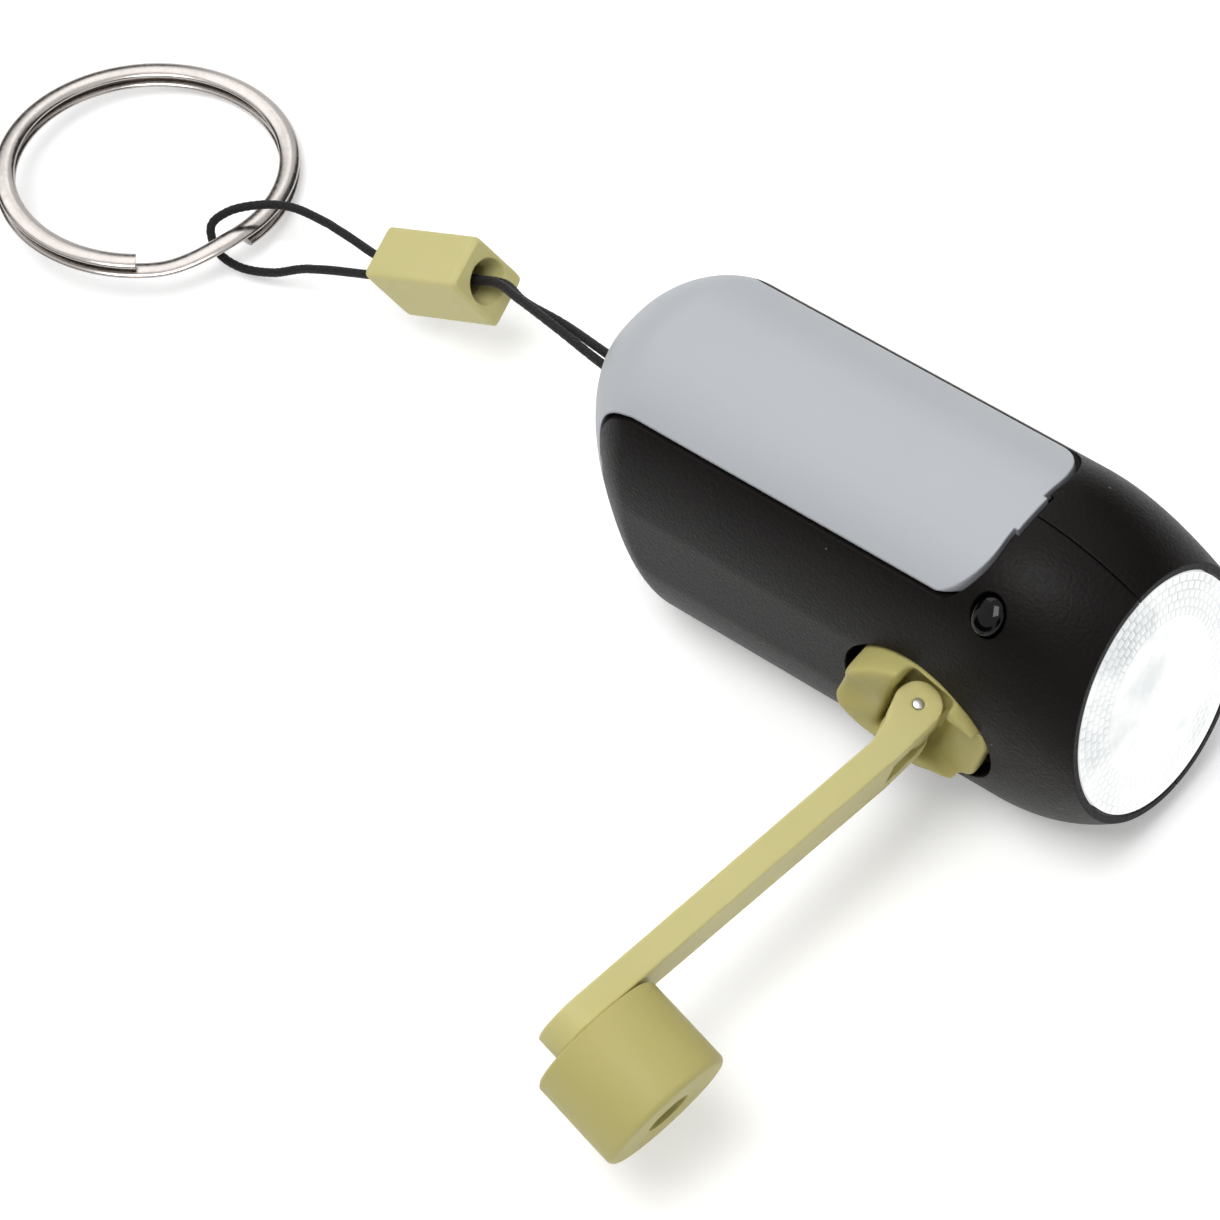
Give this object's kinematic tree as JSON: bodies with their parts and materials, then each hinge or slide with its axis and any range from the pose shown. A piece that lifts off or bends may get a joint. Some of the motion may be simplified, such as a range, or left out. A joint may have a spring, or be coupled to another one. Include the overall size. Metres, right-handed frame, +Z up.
{
  "type": "hand crank flashlight",
  "caption": "Keychain torch with an oval lens, a push button and a folding side crank that turns a small generator; a split ring hangs on a cord with a sliding bead.",
  "frame": {"origin": "middle of the flat on the belly of the case", "axes": "+X towards the lens, +Z up through the grey top panel, the crank on the -Y side"},
  "size_m": [0.1381, 0.0739, 0.0332],
  "materials": {
    "case_black": "satin near-black moulded plastic",
    "panel_grey": "satin light grey moulded plastic",
    "lens_clear": "clear moulded lens",
    "reflector_chrome": "metallised plastic",
    "board": "green circuit board",
    "lamp": "white lamp body",
    "button_gloss": "glossy black plastic",
    "steel": "plain steel",
    "copper": "enamelled copper winding",
    "cord": "twisted black cord",
    "gear": "off-white moulded plastic",
    "magnet": "dark sintered magnet",
    "crank_yellow": "satin pale yellow-green moulded plastic",
    "ring_nickel": "nickel plated spring steel"
  },
  "bodies": {
    "case": {"housing_near": "case_black", "housing_far": "case_black", "top_panel": "panel_grey", "lens": "lens_clear", "reflector": "reflector_chrome", "lamp_board": "board", "lamp_1": "lamp", "lamp_2": "lamp", "lamp_3": "lamp", "switch_base": "button_gloss", "case_screw_1": "steel", "case_screw_2": "steel", "case_screw_3": "steel", "gear_plate": "steel", "idler_axle_1": "steel", "idler_axle_2": "steel", "stator_shell": "steel", "stator_coil": "copper", "main_board": "board", "cell": "steel", "contact_near": "steel", "contact_far": "steel", "cord_bar": "steel", "cord_loop": "cord"},
    "crank": {"crank_hub": "crank_yellow", "crank_shaft": "steel", "drive_gear": "gear"},
    "arm": {"crank_arm": "crank_yellow", "hinge_pin": "steel", "knob_screw": "steel"},
    "knob": {"knob": "crank_yellow"},
    "button": {"push_button": "button_gloss"},
    "idler_one": {"idler_gear_1": "gear"},
    "idler_two": {"idler_gear_2": "gear"},
    "rotor": {"rotor_pinion": "gear", "rotor_shaft": "steel", "rotor_magnet": "magnet"},
    "slider": {"bead": "crank_yellow"},
    "ring": {"split_ring": "ring_nickel"}
  },
  "joints": [
    {"name": "crank_spin", "type": "hinge", "parent": "case", "child": "crank", "pos_m": [0.01214, 0, 0.01456], "axis": [0, 1, 0], "continuous": true},
    {"name": "crank_fold", "type": "hinge", "parent": "crank", "child": "arm", "pos_m": [0.01214, -0.01286, 0.01456], "axis": [0.4027, 0, 0.9153], "range_deg": [0, 77]},
    {"name": "knob_spin", "type": "hinge", "parent": "arm", "child": "knob", "pos_m": [0.0081, -0.0507, 0.01634], "axis": [0.9092, -0.1158, -0.4], "continuous": true},
    {"name": "idler_one_spin", "type": "hinge", "parent": "case", "child": "idler_one", "pos_m": [0.00477, 0, 0.01972], "axis": [0, 1, 0], "continuous": true},
    {"name": "idler_two_spin", "type": "hinge", "parent": "case", "child": "idler_two", "pos_m": [-0.00332, 0, 0.01578], "axis": [0, 1, 0], "continuous": true},
    {"name": "rotor_spin", "type": "hinge", "parent": "case", "child": "rotor", "pos_m": [-0.01172, 0, 0.01255], "axis": [0, 1, 0], "continuous": true},
    {"name": "button_press", "type": "slide", "parent": "case", "child": "button", "axis": [0, 0.515, -0.8572], "range_m": [0, 0.0006], "stiffness_N_per_m": 1200, "springref_m": -0.0003},
    {"name": "bead_slide", "type": "slide", "parent": "case", "child": "slider", "axis": [0.9276, 0.1106, 0.3567], "range_m": [-0.0012, 0.0012]},
    {"name": "ring_swing", "type": "hinge", "parent": "case", "child": "ring", "pos_m": [-0.08155, -0.00017, 0.00363], "axis": [0.1303, 0.9697, -0.2067], "range_deg": [0, 120]}
  ],
  "couplings": [
    {"joint": "idler_one_spin", "follows": "crank_spin", "ratio": -2.6},
    {"joint": "idler_two_spin", "follows": "crank_spin", "ratio": 6.76},
    {"joint": "rotor_spin", "follows": "crank_spin", "ratio": -17.576}
  ]
}
